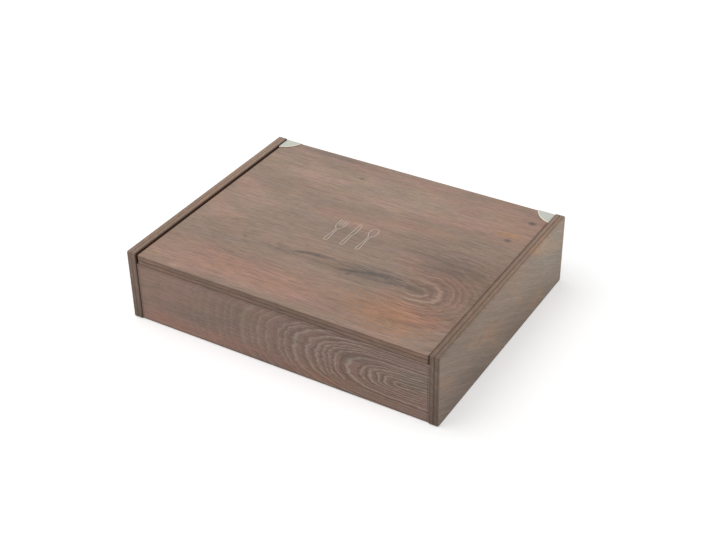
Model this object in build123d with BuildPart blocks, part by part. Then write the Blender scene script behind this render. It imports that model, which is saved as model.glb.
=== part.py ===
from build123d import *
from math import asin, atan2, degrees, hypot, sqrt
import os

os.makedirs("parts", exist_ok=True)

# A low wooden chest for table cutlery, in millimetres.
# The origin is at the middle of its footprint, with +Z up and the front towards -Y.

# Overall size of the closed chest
chest_width = 400.0
chest_depth = 314.0
chest_height = 90.5

# Board stock
side_ply_thickness = 6.0
lid_ply_thickness = 6.0
panel_thickness = 12.0
bottom_thickness = 4.0
divider_thickness = 5.0

# Wrapped board edges
ease_radius = 1.4
seam_ease_radius = 0.8
panel_ease_radius = 0.8
ply_corner_radius = 2.4
divider_ease_radius = 0.6

# How the boards stand to each other
front_setback = 1.5
lid_recess = 2.4
lid_end_gap = 1.2
panel_lift = 0.6
bottom_lift = 5.0

# Grooves that hold the bottom panel
groove_depth = 4.0
groove_end_play = 0.4
groove_play = 0.2

# Dowels through the inner plies into the front and back panels
dowel_radius = 3.0
dowel_reach = 18.0
dowel_heights = (26.0, 58.0)
dowel_play = 0.5

# Corner hinges: pivot, leaves, pins and bushes
pivot_margin = 0.5
swing_clearance = 0.5
leaf_reach = 21.5
leaf_radius = 30.5
leaf_thickness = 0.8
leaf_rear_setback = 0.6
leaf_edge_margin = 0.6
leaf_ease_radius = 0.4
leaf_corner_radius = 3.0
pin_radius = 1.5
pin_head_radius = 2.7
pin_head_thickness = 1.2
pin_head_play = 0.2
pin_tip_gap = 0.3
bush_wall = 1.0
bush_backing = 0.5
bush_flange_width = 1.1
bush_flange_thickness = 0.3
running_clearance = 0.05

# Hinge screws, two in each lid end, one into each ply
screw_radius = 1.2
screw_head_radius = 2.3
screw_length = 12.0
screw_tip_length = 2.5
screw_row_offset = 2.4
screw_first_distance = 8.5
screw_pitch = 5.5
screw_slot_width = 0.6
screw_slot_depth = 0.5
screw_play = 0.03

# Linings
felt_thickness = 1.0
liner_thickness = 3.0
pad_thickness = 3.0
pad_margin = 4.0
pad_corner_radius = 6.0
liner_drop = 3.0

# Bays for the cutlery, beside the knife bay, which takes the rest of the width
fork_bay_width = 62.0
spoon_bay_width = 62.0
small_bay_width = 73.0
teaspoon_bay_length = 142.0
divider_height = 44.0

# Knife combs, counted from the back liner
knife_count = 12
knife_slot_width = 3.6
knife_slot_depth = 24.0
comb_thickness = 10.0
comb_height = 32.0
rear_comb_distance = 40.0
comb_spacing = 62.0

# Cradles for the stacked pieces, counted from the front liner
cradle_thickness = 8.0
cradle_height = 34.0
notch_depth = 27.0
handle_notch_width = 24.0
neck_notch_width = 13.0
small_notch_width = 18.0
handle_cradle_distance = 60.0
neck_cradle_distance = 168.0

# Faces of the carcass
half_width = chest_width / 2
inner_half_width = half_width - 2 * side_ply_thickness
rear_y = chest_depth / 2
front_face_y = -chest_depth / 2 + front_setback
front_inner_y = front_face_y + panel_thickness
back_inner_y = rear_y - panel_thickness

# Faces of the lid, and the hinge axis at its seam
lid_top_z = chest_height - lid_recess
lid_bottom_z = lid_top_z - 2 * lid_ply_thickness
seam_z = lid_bottom_z + lid_ply_thickness
lid_half_width = inner_half_width - lid_end_gap
pivot_setback = lid_ply_thickness + pivot_margin
pivot_y = rear_y - pivot_setback
pivot_z = seam_z
back_top_z = pivot_z - pivot_setback - swing_clearance

# Inside faces
bottom_top_z = bottom_lift + bottom_thickness
floor_z = bottom_top_z + felt_thickness
pad_bottom_z = lid_bottom_z - pad_thickness
liner_top_z = pad_bottom_z - liner_drop
bay_left_x = -inner_half_width + liner_thickness
bay_right_x = inner_half_width - liner_thickness
bay_front_y = front_inner_y + liner_thickness
bay_back_y = back_inner_y - liner_thickness

# Bay walls from right to left
small_bay_left_x = bay_right_x - small_bay_width
spoon_bay_right_x = small_bay_left_x - divider_thickness
spoon_bay_left_x = spoon_bay_right_x - spoon_bay_width
fork_bay_right_x = spoon_bay_left_x - divider_thickness
fork_bay_left_x = fork_bay_right_x - fork_bay_width
knife_bay_right_x = fork_bay_left_x - divider_thickness
knife_bay_width = knife_bay_right_x - bay_left_x
cross_divider_y = bay_front_y + teaspoon_bay_length

# Hinge sizes that follow from the plies
bush_radius = pin_radius + running_clearance + bush_wall
bush_depth = side_ply_thickness - bush_backing
leaf_eye_radius = lid_ply_thickness - leaf_edge_margin
leaf_centre_offset = (sqrt(2 * leaf_radius**2 - leaf_reach**2) - leaf_reach) / 2
lid_ease = min(ease_radius, lid_ply_thickness / 3)
side_ease = min(ease_radius, side_ply_thickness / 3)
screw_spots = (
    (pivot_y - screw_first_distance, pivot_z + screw_row_offset),
    (pivot_y - screw_first_distance - screw_pitch, pivot_z - screw_row_offset),
)
dowel_spots = [
    (y, z)
    for y in (front_face_y + panel_thickness / 2, rear_y - panel_thickness / 2)
    for z in dowel_heights
]
sides = (("left", -1), ("right", 1))


def keep(piece, name):
    piece.part.label = name
    export_step(piece.part, f"parts/{name}.step")


def middle(faces):
    return (faces[0] + faces[1]) / 2


def facing_side(x, sign):
    # A plane at x that looks out of the given side, with its local x along +Y or -Y
    return Plane(origin=(x, 0, 0), x_dir=(0, sign, 0), z_dir=(sign, 0, 0))


def side_points(points, sign):
    return [(sign * y, z) for y, z in points]


def make_board(x_faces, y_faces, z_faces, top_ease=0.0):
    with BuildPart() as board:
        with BuildSketch(Plane.XY.offset(z_faces[0])):
            with Locations((middle(x_faces), middle(y_faces))):
                Rectangle(x_faces[1] - x_faces[0], y_faces[1] - y_faces[0])
        extrude(amount=z_faces[1] - z_faces[0])
        if top_ease:
            fillet(board.faces().sort_by(Axis.Z)[-1].edges(), radius=top_ease)
    return board


def ease_ply(ply, axis, shown_end, shown_ease):
    # The broad face that shows gets the larger radius, and the one at the seam the smaller
    for face_index, radius in ((shown_end, shown_ease), (-1 - shown_end, seam_ease_radius)):
        broad_face = ply.faces().filter_by(axis).sort_by(axis)[face_index]
        fillet(broad_face.edges(), radius=radius)


# Side panels: two wrapped plies each, face to face
for side, sign in sides:
    inner_face_x = sign * inner_half_width
    seam_x = inner_face_x + sign * side_ply_thickness

    with BuildPart() as outer_ply:
        with BuildSketch(facing_side(seam_x, sign)):
            with Locations((0, chest_height / 2)):
                RectangleRounded(chest_depth, chest_height, ply_corner_radius)
        extrude(amount=side_ply_thickness)
        ease_ply(outer_ply, Axis.X, -1 if sign > 0 else 0, side_ease)
    keep(outer_ply, f"{side}_side_outer_ply")

    with BuildPart() as inner_ply:
        with BuildSketch(facing_side(inner_face_x, sign)):
            with Locations((0, chest_height / 2)):
                RectangleRounded(chest_depth, chest_height, ply_corner_radius)
        extrude(amount=side_ply_thickness)
        ease_ply(inner_ply, Axis.X, 0 if sign > 0 else -1, side_ease)
        # Stopped groove for the bottom panel
        with BuildSketch(facing_side(inner_face_x, sign)):
            groove_length = back_inner_y - front_inner_y + 2 * groove_depth
            groove_height = bottom_thickness + groove_play
            groove_middle_y = middle((front_inner_y, back_inner_y))
            with Locations((sign * groove_middle_y, bottom_lift + groove_height / 2)):
                Rectangle(groove_length, groove_height)
        extrude(amount=groove_depth, mode=Mode.SUBTRACT)
        # Through holes for the dowels, closed by the outer ply
        with BuildSketch(facing_side(inner_face_x, sign)):
            with Locations(*side_points(dowel_spots, sign)):
                Circle(dowel_radius)
        extrude(amount=side_ply_thickness, mode=Mode.SUBTRACT)
        # Blind hole for the hinge bush
        with BuildSketch(facing_side(inner_face_x, sign)):
            with Locations((sign * pivot_y, pivot_z)):
                Circle(bush_radius)
        extrude(amount=bush_depth, mode=Mode.SUBTRACT)
    keep(inner_ply, f"{side}_side_inner_ply")


# Front and back panels between the sides, grooved for the bottom panel and drilled for dowels
def make_panel(outer_y, top_z, facing):
    inner_y = outer_y - facing * panel_thickness
    with BuildPart() as panel:
        with BuildSketch(Plane.XY.offset(panel_lift)):
            with Locations((0, middle((outer_y, inner_y)))):
                Rectangle(2 * inner_half_width, panel_thickness)
        extrude(amount=top_z - panel_lift)
        outer_face = panel.faces().sort_by(Axis.Y)[-1 if facing > 0 else 0]
        fillet(outer_face.edges().filter_by(Axis.X), radius=panel_ease_radius)
        with BuildSketch(Plane.XY.offset(bottom_lift)):
            with Locations((0, inner_y + facing * groove_depth / 2)):
                Rectangle(2 * inner_half_width, groove_depth)
        extrude(amount=bottom_thickness + groove_play, mode=Mode.SUBTRACT)
        for _, sign in sides:
            hole_y = sign * middle((outer_y, inner_y))
            with BuildSketch(facing_side(sign * inner_half_width, sign)):
                with Locations(*[(hole_y, z) for z in dowel_heights]):
                    Circle(dowel_radius)
            extrude(amount=-(dowel_reach + dowel_play), mode=Mode.SUBTRACT)
    return panel


front_panel = make_panel(front_face_y, lid_bottom_z, -1)
keep(front_panel, "front_panel")

back_panel = make_panel(rear_y, back_top_z, 1)
keep(back_panel, "back_panel")

# Dowels at the four corners
with BuildPart() as panel_dowels:
    for _, sign in sides:
        with BuildSketch(facing_side(sign * (inner_half_width + side_ply_thickness), sign)):
            with Locations(*side_points(dowel_spots, sign)):
                Circle(dowel_radius)
        extrude(amount=-(side_ply_thickness + dowel_reach))
keep(panel_dowels, "panel_dowels")

# Bottom panel, captive in the grooves
tongue = groove_depth - groove_end_play
bottom_panel = make_board(
    (-inner_half_width - tongue, inner_half_width + tongue),
    (front_inner_y - tongue, back_inner_y + tongue),
    (bottom_lift, bottom_top_z),
)
keep(bottom_panel, "bottom_panel")

# Felt on the bottom panel
base_lining = make_board(
    (-inner_half_width, inner_half_width),
    (front_inner_y, back_inner_y),
    (bottom_top_z, floor_z),
)
keep(base_lining, "base_lining")

# Covered liner boards that stand on the felt against the four walls
liner_z = (floor_z, liner_top_z)
liner_boards = {
    "left_liner": ((-inner_half_width, bay_left_x), (front_inner_y, back_inner_y), liner_z),
    "right_liner": ((bay_right_x, inner_half_width), (front_inner_y, back_inner_y), liner_z),
    "front_liner": ((bay_left_x, bay_right_x), (front_inner_y, bay_front_y), liner_z),
    "back_liner": ((bay_left_x, bay_right_x), (bay_back_y, back_inner_y), liner_z),
}
for name, (x_faces, y_faces, z_faces) in liner_boards.items():
    liner = make_board(x_faces, y_faces, z_faces)
    keep(liner, name)

# Dividers between the bays
divider_z = (floor_z, floor_z + divider_height)
bay_length_y = (bay_front_y, bay_back_y)
divider_boards = {
    "knife_divider": ((knife_bay_right_x, fork_bay_left_x), bay_length_y, divider_z),
    "fork_divider": ((fork_bay_right_x, spoon_bay_left_x), bay_length_y, divider_z),
    "spoon_divider": ((spoon_bay_right_x, small_bay_left_x), bay_length_y, divider_z),
    "cross_divider": (
        (small_bay_left_x, bay_right_x),
        (cross_divider_y, cross_divider_y + divider_thickness),
        divider_z,
    ),
}
for name, (x_faces, y_faces, z_faces) in divider_boards.items():
    divider = make_board(x_faces, y_faces, z_faces, top_ease=divider_ease_radius)
    keep(divider, name)


# Knife combs: one slot for each blade, with a round bottom
def make_comb(front_y):
    comb_x = (bay_left_x, knife_bay_right_x)
    slot_radius = knife_slot_width / 2
    comb_top_z = floor_z + comb_height
    slot_bottom_z = comb_top_z - knife_slot_depth
    with BuildPart() as comb:
        with BuildSketch(Plane.XY.offset(floor_z)):
            with Locations((middle(comb_x), front_y + comb_thickness / 2)):
                Rectangle(knife_bay_width, comb_thickness)
        extrude(amount=comb_height)
        top_edges = comb.faces().sort_by(Axis.Z)[-1].edges().filter_by(Axis.X)
        fillet(top_edges, radius=divider_ease_radius)
        with BuildSketch(Plane.XZ.offset(-front_y)):
            with Locations((middle(comb_x), comb_top_z)):
                with GridLocations(knife_bay_width / knife_count, 0, knife_count, 1):
                    Rectangle(
                        knife_slot_width,
                        knife_slot_depth - slot_radius,
                        align=(Align.CENTER, Align.MAX),
                    )
            with Locations((middle(comb_x), slot_bottom_z + slot_radius)):
                with GridLocations(knife_bay_width / knife_count, 0, knife_count, 1):
                    Circle(slot_radius)
        extrude(amount=-comb_thickness, mode=Mode.SUBTRACT)
    return comb


rear_comb_front_y = bay_back_y - rear_comb_distance - comb_thickness
front_comb_front_y = rear_comb_front_y - comb_spacing
knife_comb_rear = make_comb(rear_comb_front_y)
keep(knife_comb_rear, "knife_comb_rear")
knife_comb_front = make_comb(front_comb_front_y)
keep(knife_comb_front, "knife_comb_front")


# Cradles: a block across its bay with one round-bottomed notch for a stack
def make_cradle(x_faces, front_y, notch_width):
    cradle_top_z = floor_z + cradle_height
    notch_radius = notch_width / 2
    with BuildPart() as cradle:
        with BuildSketch(Plane.XY.offset(floor_z)):
            with Locations((middle(x_faces), front_y + cradle_thickness / 2)):
                Rectangle(x_faces[1] - x_faces[0], cradle_thickness)
        extrude(amount=cradle_height)
        top_edges = cradle.faces().sort_by(Axis.Z)[-1].edges().filter_by(Axis.X)
        fillet(top_edges, radius=divider_ease_radius)
        with BuildSketch(Plane.XZ.offset(-front_y)):
            with Locations((middle(x_faces), cradle_top_z)):
                Rectangle(
                    notch_width,
                    notch_depth - notch_radius,
                    align=(Align.CENTER, Align.MAX),
                )
            with Locations((middle(x_faces), cradle_top_z - notch_depth + notch_radius)):
                Circle(notch_radius)
        extrude(amount=-cradle_thickness, mode=Mode.SUBTRACT)
    return cradle


fork_bay_x = (fork_bay_left_x, fork_bay_right_x)
spoon_bay_x = (spoon_bay_left_x, spoon_bay_right_x)
small_bay_x = (small_bay_left_x, bay_right_x)
handle_cradle_y = bay_front_y + handle_cradle_distance
neck_cradle_y = bay_front_y + neck_cradle_distance
teaspoon_cradle_y = bay_front_y + (teaspoon_bay_length - cradle_thickness) / 2
small_cradle_y = middle((cross_divider_y + divider_thickness, bay_back_y)) - cradle_thickness / 2
cradles = {
    "fork_cradle_front": (fork_bay_x, handle_cradle_y, handle_notch_width),
    "fork_cradle_rear": (fork_bay_x, neck_cradle_y, neck_notch_width),
    "spoon_cradle_front": (spoon_bay_x, handle_cradle_y, handle_notch_width),
    "spoon_cradle_rear": (spoon_bay_x, neck_cradle_y, neck_notch_width),
    "teaspoon_cradle": (small_bay_x, teaspoon_cradle_y, small_notch_width),
    "small_piece_cradle": (small_bay_x, small_cradle_y, small_notch_width),
}
for name, (x_faces, front_y, notch_width) in cradles.items():
    cradle = make_cradle(x_faces, front_y, notch_width)
    keep(cradle, name)


# Lid: two wrapped plies, drilled in their ends for the hinge screws and the pin heads
def make_lid_ply(low_z, shown_end):
    with BuildPart() as ply:
        with BuildSketch(Plane.XY.offset(low_z)):
            with Locations((0, middle((front_face_y, rear_y)))):
                RectangleRounded(2 * lid_half_width, rear_y - front_face_y, ply_corner_radius)
        extrude(amount=lid_ply_thickness)
        ease_ply(ply, Axis.Z, shown_end, lid_ease)
        # The rear edge is rounded about the hinge axis, so that it turns over the back panel
        with BuildSketch(Plane.YZ.offset(-lid_half_width)):
            with Locations((pivot_y, pivot_z)):
                Rectangle(
                    pivot_setback,
                    pivot_setback,
                    align=(Align.MIN, Align.MAX),
                )
                Circle(pivot_setback, mode=Mode.SUBTRACT)
        extrude(amount=2 * lid_half_width, mode=Mode.SUBTRACT)
        for _, sign in sides:
            with BuildSketch(facing_side(sign * lid_half_width, sign)):
                with Locations((sign * pivot_y, pivot_z)):
                    Circle(pin_head_radius + pin_head_play)
            extrude(amount=-(pin_head_thickness + pin_head_play), mode=Mode.SUBTRACT)
            with BuildSketch(facing_side(sign * lid_half_width, sign)):
                with Locations(*side_points(screw_spots, sign)):
                    Circle(screw_radius)
            extrude(amount=-screw_length, mode=Mode.SUBTRACT)
    return ply


lid_top_ply = make_lid_ply(seam_z, -1)
keep(lid_top_ply, "lid_top_ply")

lid_bottom_ply = make_lid_ply(lid_bottom_z, 0)
keep(lid_bottom_ply, "lid_bottom_ply")

# Thin covered pad under the lid
with BuildPart() as lid_lining_pad:
    pad_y = (front_inner_y + pad_margin, back_inner_y - pad_margin)
    with BuildSketch(Plane.XY.offset(pad_bottom_z)):
        with Locations((0, middle(pad_y))):
            RectangleRounded(
                2 * (inner_half_width - pad_margin),
                pad_y[1] - pad_y[0],
                pad_corner_radius,
            )
    extrude(amount=pad_thickness)
keep(lid_lining_pad, "lid_lining_pad")

# Corner hinges, one at each rear corner of the lid
for side, sign in sides:
    lid_end_x = sign * lid_half_width
    leaf_outer_x = lid_end_x + sign * leaf_thickness
    leaf_rear_y = rear_y - leaf_rear_setback
    leaf_front_y = rear_y - leaf_reach

    with BuildPart() as hinge_plate:
        # Leaf on the lid, bounded by an arc that reaches as far along the lid's end as along its rear
        with BuildSketch(Plane.XY.offset(lid_top_z)):
            with Locations((lid_end_x + sign * leaf_centre_offset, rear_y + leaf_centre_offset)):
                Circle(leaf_radius)
            leaf_inner_x = lid_end_x - sign * leaf_reach
            with Locations((middle((leaf_inner_x, leaf_outer_x)), middle((leaf_front_y, leaf_rear_y)))):
                Rectangle(
                    leaf_reach + leaf_thickness,
                    leaf_rear_y - leaf_front_y,
                    mode=Mode.INTERSECT,
                )
        extrude(amount=leaf_thickness)
        top_edges = hinge_plate.faces().sort_by(Axis.Z)[-1].edges()
        fillet(top_edges, radius=leaf_ease_radius)
        # Side leaf, turned down over the lid's end, with a round eye about the pin
        with BuildSketch(facing_side(lid_end_x, sign)):
            leaf_end_y = rear_y - leaf_reach + leaf_edge_margin
            upper_y = (leaf_end_y, leaf_rear_y)
            with Locations((sign * middle(upper_y), middle((pivot_z, lid_top_z)))):
                Rectangle(upper_y[1] - upper_y[0], lid_top_z - pivot_z)
            lower_y = (leaf_end_y, pivot_y)
            with Locations((sign * middle(lower_y), pivot_z - leaf_eye_radius / 2)):
                Rectangle(lower_y[1] - lower_y[0], leaf_eye_radius)
            with Locations((sign * pivot_y, pivot_z)):
                Circle(leaf_eye_radius)
        extrude(amount=leaf_thickness)
        front_low_edge = (
            hinge_plate.edges()
            .filter_by(Axis.X)
            .group_by(Axis.Z)[0]
            .sort_by(Axis.Y)[0]
        )
        fillet(front_low_edge, radius=leaf_corner_radius)
        # Hole for the pin
        with BuildSketch(facing_side(lid_end_x, sign)):
            with Locations((sign * pivot_y, pivot_z)):
                Circle(pin_radius)
        extrude(amount=leaf_thickness, mode=Mode.SUBTRACT)
        # Countersunk holes for the screws
        for screw_y, screw_z in screw_spots:
            screw_seat = Plane(origin=(leaf_outer_x, screw_y, screw_z), z_dir=(sign, 0, 0))
            with Locations(screw_seat):
                CounterSinkHole(
                    screw_radius,
                    screw_head_radius,
                    depth=leaf_thickness,
                    counter_sink_angle=2 * degrees(atan2(screw_head_radius - screw_radius, leaf_thickness)),
                )
    keep(hinge_plate, f"{side}_hinge_plate")

    # Pin, headed inside the lid's end and riveted through the leaf
    bush_end_x = sign * (inner_half_width + bush_depth)
    with BuildPart() as hinge_pin:
        with BuildSketch(facing_side(lid_end_x, sign)):
            with Locations((sign * pivot_y, pivot_z)):
                Circle(pin_head_radius)
        extrude(amount=-pin_head_thickness)
        with BuildSketch(facing_side(lid_end_x, sign)):
            with Locations((sign * pivot_y, pivot_z)):
                Circle(pin_radius)
        extrude(amount=abs(bush_end_x - lid_end_x) - pin_tip_gap)
    keep(hinge_pin, f"{side}_hinge_pin")

    # Flanged bush in the side panel's inner ply
    inner_face_x = sign * inner_half_width
    with BuildPart() as hinge_bush:
        with BuildSketch(facing_side(inner_face_x, sign)):
            with Locations((sign * pivot_y, pivot_z)):
                Circle(bush_radius)
                Circle(pin_radius + running_clearance, mode=Mode.SUBTRACT)
        extrude(amount=bush_depth)
        with BuildSketch(facing_side(inner_face_x, sign)):
            with Locations((sign * pivot_y, pivot_z)):
                Circle(bush_radius + bush_flange_width)
                Circle(pin_radius + running_clearance, mode=Mode.SUBTRACT)
        extrude(amount=-bush_flange_thickness)
    keep(hinge_bush, f"{side}_hinge_bush")

# Hinge screws: countersunk heads flush with the leaves
with BuildPart() as hinge_screws:
    for _, sign in sides:
        leaf_outer_x = sign * (lid_half_width + leaf_thickness)
        shank_radius = screw_radius - screw_play
        shank_length = screw_length - screw_tip_length
        for screw_y, screw_z in screw_spots:
            head_plane = Plane(origin=(leaf_outer_x, screw_y, screw_z), z_dir=(-sign, 0, 0))
            shank_plane = head_plane.offset(leaf_thickness)
            tip_plane = shank_plane.offset(shank_length)
            with Locations(head_plane):
                Cone(
                    screw_head_radius - screw_play,
                    shank_radius,
                    leaf_thickness,
                    align=(Align.CENTER, Align.CENTER, Align.MIN),
                )
            with Locations(shank_plane):
                Cylinder(
                    shank_radius,
                    shank_length,
                    align=(Align.CENTER, Align.CENTER, Align.MIN),
                )
            with Locations(tip_plane):
                Cone(
                    shank_radius,
                    shank_radius / 4,
                    screw_tip_length - screw_play,
                    align=(Align.CENTER, Align.CENTER, Align.MIN),
                )
            with Locations(head_plane):
                Box(
                    2 * screw_head_radius,
                    screw_slot_width,
                    2 * screw_slot_depth,
                    mode=Mode.SUBTRACT,
                )
keep(hinge_screws, "hinge_screws")

# The lid stops when its rounded top rear edge meets the back panel's top
edge_reach = hypot(pivot_setback - lid_ease, lid_ply_thickness - lid_ease)
edge_lean = atan2(lid_ply_thickness - lid_ease, pivot_setback - lid_ease)
stop_angle = degrees(edge_lean + asin((pivot_z - back_top_z - lid_ease) / edge_reach))
print(f"the lid stops at {stop_angle:.2f} degrees")
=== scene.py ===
import math

import bmesh
import bpy
from mathutils import Matrix, Vector
from mathutils import noise as fields


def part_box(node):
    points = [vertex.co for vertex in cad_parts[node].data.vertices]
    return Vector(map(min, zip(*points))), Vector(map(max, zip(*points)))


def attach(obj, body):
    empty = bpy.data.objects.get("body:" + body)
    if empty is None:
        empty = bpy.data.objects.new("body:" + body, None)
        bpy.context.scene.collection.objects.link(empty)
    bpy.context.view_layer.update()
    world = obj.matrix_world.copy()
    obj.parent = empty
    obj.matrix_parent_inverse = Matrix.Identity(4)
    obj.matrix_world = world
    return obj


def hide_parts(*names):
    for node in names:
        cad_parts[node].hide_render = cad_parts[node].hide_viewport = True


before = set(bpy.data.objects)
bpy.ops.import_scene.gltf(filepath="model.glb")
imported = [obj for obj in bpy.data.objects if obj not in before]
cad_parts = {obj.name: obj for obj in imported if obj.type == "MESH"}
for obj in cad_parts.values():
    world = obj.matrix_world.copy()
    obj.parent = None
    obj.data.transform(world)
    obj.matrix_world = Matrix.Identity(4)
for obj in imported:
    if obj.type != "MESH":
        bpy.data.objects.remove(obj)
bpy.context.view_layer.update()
print("frame loaded,", len(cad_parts), "nodes")

mm = 0.001
scene = bpy.context.scene


def addObject(name, data):
    holder = bpy.data.objects.new(name, data)
    scene.collection.objects.link(holder)
    return holder


def meshOf(name, points, faces):
    mesh = bpy.data.meshes.new(name)
    mesh.from_pydata([tuple(p) for p in points], [], faces)
    return mesh


# Camera, in metres and degrees, its lens and sensor in millimetres

cameraSet = {
    "azimuth": 31.252,  # round from the front, towards the right
    "elevation": 33.92,
    "roll": -0.893,
    "target": (0.0, 0.0, 0.044),
    "distance": 1.565933,
    "asideRight": 0.009076,
    "asideUp": -0.003776,
    "lens": 67.405,
    "sensor": 36.0,
    "clip": (0.05, 50),
}


def makeCamera():
    turn, rise, roll = (math.radians(cameraSet[k]) for k in ("azimuth", "elevation", "roll"))
    back = Vector((math.sin(turn) * math.cos(rise), -math.cos(turn) * math.cos(rise), math.sin(rise)))
    right = (-back).cross(Vector((0, 0, 1))).normalized()
    up = right.cross(-back)
    across = right * math.cos(roll) + up * math.sin(roll)
    upward = up * math.cos(roll) - right * math.sin(roll)
    stand = (Vector(cameraSet["target"]) + back * cameraSet["distance"]
             + across * cameraSet["asideRight"] + upward * cameraSet["asideUp"])
    data = bpy.data.cameras.new("camera")
    data.lens = cameraSet["lens"]
    data.sensor_width = cameraSet["sensor"]
    data.clip_start, data.clip_end = cameraSet["clip"]
    camera = addObject("camera", data)
    camera.matrix_world = Matrix.Translation(stand) @ Matrix((across, upward, back)).transposed().to_4x4()
    scene.camera = camera


makeCamera()


# Helpers for node trees


def treeOf(*values):
    # the tree of the first socket among the values
    return next(value.id_data for value in values if isinstance(value, bpy.types.NodeSocket))


def wire(socket, value):
    # a socket is linked, and a plain value is set
    if isinstance(value, bpy.types.NodeSocket):
        socket.id_data.links.new(value, socket)
    else:
        socket.default_value = value


def place(tree, kind, values=None, **settings):
    node = tree.nodes.new(kind)
    for key, value in settings.items():
        setattr(node, key, value)
    for key, value in (values or {}).items():
        wire(node.inputs[key], value)
    return node


def result(tree, kind, values=None, **settings):
    # the first output of a new node
    return place(tree, kind, values, **settings).outputs[0]


def calc(operation, *values):
    return result(treeOf(*values), "ShaderNodeMath", dict(enumerate(values)), operation=operation)


def times(first, *others):
    for other in others:
        first = calc("MULTIPLY", first, other)
    return first


def plus(first, *others):
    for other in others:
        first = calc("ADD", first, other)
    return first


def minus(first, second):
    return calc("SUBTRACT", first, second)


def ratio(first, second):
    return calc("DIVIDE", first, second)


def absolute(value):
    return calc("ABSOLUTE", value)


def swing(value, size):
    # a noise from 0 to 1, turned about zero
    return times(minus(value, 0.5), size)


def vectorCalc(operation, first, second):
    values = {0: first, 1: second}
    return result(treeOf(first, second), "ShaderNodeVectorMath", values, operation=operation)


def combine(x, y, z):
    return result(treeOf(x, y, z), "ShaderNodeCombineXYZ", {0: x, 1: y, 2: z})


def split(vector):
    return place(vector.id_data, "ShaderNodeSeparateXYZ", {0: vector}).outputs


def noise(vector, scale=1.0, detail=2.0, roughness=0.5, distortion=0.0):
    values = {"Vector": vector, "Scale": scale, "Detail": detail, "Roughness": roughness,
              "Distortion": distortion}
    return result(vector.id_data, "ShaderNodeTexNoise", values)


def step(value, low, high, toLow=0.0, toHigh=1.0):
    # smooth step from low to high
    values = dict(enumerate((value, low, high, toLow, toHigh)))
    return result(value.id_data, "ShaderNodeMapRange", values, interpolation_type="SMOOTHSTEP")


def blend(share, first, second, way="MIX"):
    values = {0: share, 6: first, 7: second}  # 6 and 7 are the node's two colours
    tree = treeOf(*values.values())
    return place(tree, "ShaderNodeMix", values, data_type="RGBA", blend_type=way).outputs[2]


def tinted(colour, *channels):
    # each channel times its own number or link
    tint = result(colour.id_data, "ShaderNodeCombineXYZ", dict(enumerate(channels)))
    return blend(1.0, colour, tint, "MULTIPLY")


def tone(red, green, blue):
    # a screen colour, 0 to 255, as the linear one that sockets take
    channels = [c / 255 for c in (red, green, blue)]
    return tuple(c / 12.92 if c <= 0.04045 else ((c + 0.055) / 1.055) ** 2.4 for c in channels) + (1.0,)


def startTree(family, name, inputs, outputs):
    # the kind of an input follows its value: a path has none yet, and what isn't listed is a material
    kinds = {tuple: "Vector", float: "Float", int: "Int", type(None): "Geometry"}
    tree = bpy.data.node_groups.new(name, family + "NodeTree")
    for label, value in inputs.items():
        kind = "NodeSocket" + kinds.get(type(value), "Material")
        socket = tree.interface.new_socket(label, in_out="INPUT", socket_type=kind)
        if value is not None:
            socket.default_value = value
    for label, kind in outputs.items():
        tree.interface.new_socket(label, in_out="OUTPUT", socket_type="NodeSocket" + kind)
    return tree, tree.nodes.new("NodeGroupInput").outputs, tree.nodes.new("NodeGroupOutput").inputs


def useGroup(group, values):
    return place(treeOf(*values.values()), "ShaderNodeGroup", values, node_tree=group).outputs


def startMaterial(name, roughness=0.5, metallic=0.0):
    material = bpy.data.materials.new(name)
    material.use_nodes = True
    tree = material.node_tree
    shader = tree.nodes["Principled BSDF"]
    shader.inputs["Roughness"].default_value = roughness
    shader.inputs["Metallic"].default_value = metallic
    return material, tree, shader


def addBump(shader, height, distance):
    values = {"Height": height, "Distance": distance, "Strength": 1.0}
    wire(shader.inputs["Normal"], result(height.id_data, "ShaderNodeBump", values))


def millimetres(tree):
    # Object coordinates in millimetres
    coordinates = tree.nodes.new("ShaderNodeTexCoord")
    return vectorCalc("MULTIPLY", coordinates.outputs["Object"], (1000, 1000, 1000)), coordinates


# Floor and light

stageSet = {
    "floorHalf": 4.0,
    "floorColour": (0.8, 0.8, 0.8, 1.0),
    "floorGlow": 0.43,  # seen by the camera and in reflections, so that the open floor is white
    "farGlow": (0.5, 2.2, 0.8),  # from this far, to this far, and how bright there
    "worldLight": 0.4,
    "lamps": {  # place, size and power
        "keyLamp": ((-0.62, -0.32, 1.9), 1.7, 20.2),
        "fillLamp": ((2.3, -0.1, 0.75), 1.0, 9.0),
    },
}


def raysOf(tree, *kinds):
    path = tree.nodes.new("ShaderNodeLightPath")
    seen = path.outputs["Is Camera Ray"]
    for kind in kinds:
        seen = calc("MAXIMUM", seen, path.outputs[kind])
    return seen


def makeFloor():
    half = stageSet["floorHalf"]
    corners = [(-half, -half, 0), (half, -half, 0), (half, half, 0), (-half, half, 0)]
    floor = addObject("floor", meshOf("floor", corners, [(0, 1, 2, 3)]))
    material = bpy.data.materials.new("floorPaper")
    material.use_nodes = True
    tree = material.node_tree
    tree.nodes.clear()
    paper = result(tree, "ShaderNodeBsdfDiffuse", {"Color": stageSet["floorColour"]})
    at = tree.nodes.new("ShaderNodeTexCoord").outputs["Object"]
    away = place(tree, "ShaderNodeVectorMath", {0: at}, operation="LENGTH").outputs["Value"]
    near, far, bright = stageSet["farGlow"]
    level = step(away, near, far, stageSet["floorGlow"], bright)
    strength = times(raysOf(tree, "Is Glossy Ray"), level)
    glow = result(tree, "ShaderNodeEmission", {"Strength": strength})
    both = result(tree, "ShaderNodeAddShader", {0: paper, 1: glow})
    place(tree, "ShaderNodeOutputMaterial", {"Surface": both})
    floor.data.materials.append(material)


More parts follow.
